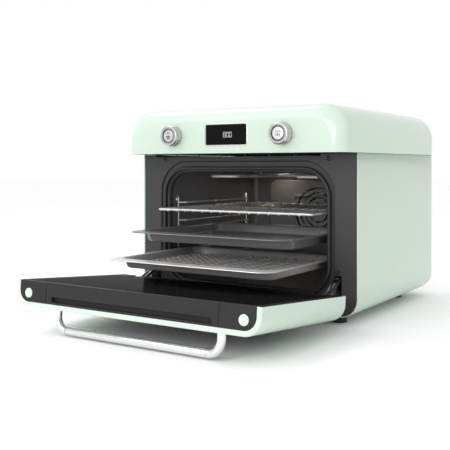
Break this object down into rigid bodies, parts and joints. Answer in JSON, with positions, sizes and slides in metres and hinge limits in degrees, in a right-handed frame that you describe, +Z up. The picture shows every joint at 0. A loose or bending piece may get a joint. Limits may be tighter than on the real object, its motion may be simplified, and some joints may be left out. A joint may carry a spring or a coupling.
{
  "type": "toaster oven",
  "caption": "Countertop convection oven with an overhanging rounded hood, drop-down door, rack, trays, knobs and clock.",
  "frame": {"origin": "on the worktop, under the middle of the bounding box with the door open", "axes": "+Z up, +Y towards the back of the oven, +X to the right as seen from the front"},
  "size_m": [0.498, 0.8212, 0.404],
  "materials": {
    "mint_paint": "gloss powder coat, pale mint",
    "grey_enamel": "satin dark grey enamel",
    "cavity_enamel": "glossy charcoal oven enamel",
    "chrome": "polished chrome plate",
    "plated_steel": "satin steel",
    "black_glass": "black printed tempered glass",
    "black_plastic": "fine moulded grain",
    "black_rubber": "matte",
    "insulation_wool": "mineral wool",
    "circuit_board": "solder mask",
    "lamp_glass": "clear heat-proof glass, lit from behind"
  },
  "bodies": {
    "cabinet": {"outer_wrap": "mint_paint", "hood": "mint_paint", "front_frame": "grey_enamel", "door_gasket": "black_rubber", "cavity_liner": "cavity_enamel", "insulation_blanket": "insulation_wool", "base_plate": "plated_steel", "top_chassis": "plated_steel", "rear_cover": "grey_enamel", "power_inlet": "black_rubber", "fan_baffle": "cavity_enamel", "fan_motor": "plated_steel", "ring_element": "plated_steel", "grill_element": "plated_steel", "lamp_lens": "lamp_glass", "display_bezel": "chrome", "display_glass": "black_glass", "control_board": "circuit_board", "cooling_housing": "plated_steel", "foot_front_left": "black_rubber", "foot_front_right": "black_rubber", "foot_rear_left": "black_rubber", "foot_rear_right": "black_rubber", "side_rack_left": "plated_steel", "side_rack_right": "plated_steel", "element_bracket_left": "plated_steel", "element_bracket_right": "plated_steel", "frame_screw_left": "plated_steel", "frame_screw_right": "plated_steel", "door_bumper_left": "black_rubber", "door_bumper_right": "black_rubber", "encoder_left": "plated_steel", "encoder_right": "plated_steel"},
    "hinge_carriage": {"hinge_arm_left": "plated_steel", "hinge_arm_right": "plated_steel"},
    "door": {"door_shell": "mint_paint", "door_outer_glass": "black_glass", "door_inner_glass": "black_glass", "door_inner_frame": "cavity_enamel", "door_cap_centre": "black_plastic", "door_bottom_cap": "black_plastic", "handle_bar": "chrome", "door_cap_left": "black_plastic", "door_cap_right": "black_plastic", "cap_plug_left": "mint_paint", "cap_plug_right": "mint_paint", "handle_elbow_left": "chrome", "handle_elbow_right": "chrome"},
    "rack": {"wire_rack": "chrome"},
    "upper_tray": {"enamel_tray": "cavity_enamel"},
    "lower_tray": {"roasting_tray": "plated_steel", "mesh_insert": "chrome"},
    "link_left": {"hinge_link_left": "chrome"},
    "link_right": {"hinge_link_right": "chrome"},
    "knob_left": {"knob_left": "chrome"},
    "knob_right": {"knob_right": "chrome"},
    "button_left": {"knob_button_left": "chrome"},
    "button_right": {"knob_button_right": "chrome"},
    "fan": {"fan_impeller": "plated_steel"},
    "blower": {"cooling_rotor": "plated_steel"}
  },
  "joints": [
    {"name": "hinge_carriage_slide", "type": "slide", "parent": "cabinet", "child": "hinge_carriage", "axis": [0, 1, 0], "range_m": [0, 0.0152]},
    {"name": "door_hinge", "type": "hinge", "parent": "hinge_carriage", "child": "door", "pos_m": [0, -0.12823, 0.0291], "axis": [-1, 0, 0], "range_deg": [0, 85]},
    {"name": "rack_slide", "type": "slide", "parent": "cabinet", "child": "rack", "axis": [0, 1, 0], "range_m": [0, 0.0475]},
    {"name": "upper_tray_slide", "type": "slide", "parent": "cabinet", "child": "upper_tray", "axis": [0, 1, 0], "range_m": [0, 0.147]},
    {"name": "lower_tray_slide", "type": "slide", "parent": "cabinet", "child": "lower_tray", "axis": [0, 1, 0], "range_m": [0, 0.244]},
    {"name": "link_left_pivot", "type": "hinge", "parent": "door", "child": "link_left", "pos_m": [-0.206, -0.1338, 0.05147], "axis": [1, 0, 0], "range_deg": [0, 98]},
    {"name": "link_right_pivot", "type": "hinge", "parent": "door", "child": "link_right", "pos_m": [0.206, -0.1338, 0.05147], "axis": [1, 0, 0], "range_deg": [0, 98]},
    {"name": "knob_left_turn", "type": "hinge", "parent": "cabinet", "child": "knob_left", "pos_m": [-0.123, -0.12503, 0.351], "axis": [0, 1, 0], "continuous": true},
    {"name": "knob_right_turn", "type": "hinge", "parent": "cabinet", "child": "knob_right", "pos_m": [0.123, -0.12503, 0.351], "axis": [0, 1, 0], "continuous": true},
    {"name": "button_left_press", "type": "slide", "parent": "knob_left", "child": "button_left", "axis": [0, 1, 0], "range_m": [0, 0.0015], "stiffness_N_per_m": 600, "springref_m": -0.0008},
    {"name": "button_right_press", "type": "slide", "parent": "knob_right", "child": "button_right", "axis": [0, 1, 0], "range_m": [0, 0.0015], "stiffness_N_per_m": 600, "springref_m": -0.0008},
    {"name": "fan_spin", "type": "hinge", "parent": "cabinet", "child": "fan", "pos_m": [0, 0.30197, 0.182], "axis": [0, 1, 0], "continuous": true},
    {"name": "blower_spin", "type": "hinge", "parent": "cabinet", "child": "blower", "pos_m": [0, 0.09097, 0.35], "axis": [1, 0, 0], "continuous": true}
  ],
  "couplings": [
    {"joint": "hinge_carriage_slide", "follows": "door_hinge", "m_per_rad": 0.01024},
    {"joint": "rack_slide", "follows": "door_hinge", "m_per_rad": 0.032},
    {"joint": "upper_tray_slide", "follows": "door_hinge", "m_per_rad": 0.09905},
    {"joint": "lower_tray_slide", "follows": "door_hinge", "m_per_rad": 0.16445},
    {"joint": "link_left_pivot", "follows": "door_hinge", "ratio": 1.1482},
    {"joint": "link_right_pivot", "follows": "door_hinge", "ratio": 1.1482}
  ]
}
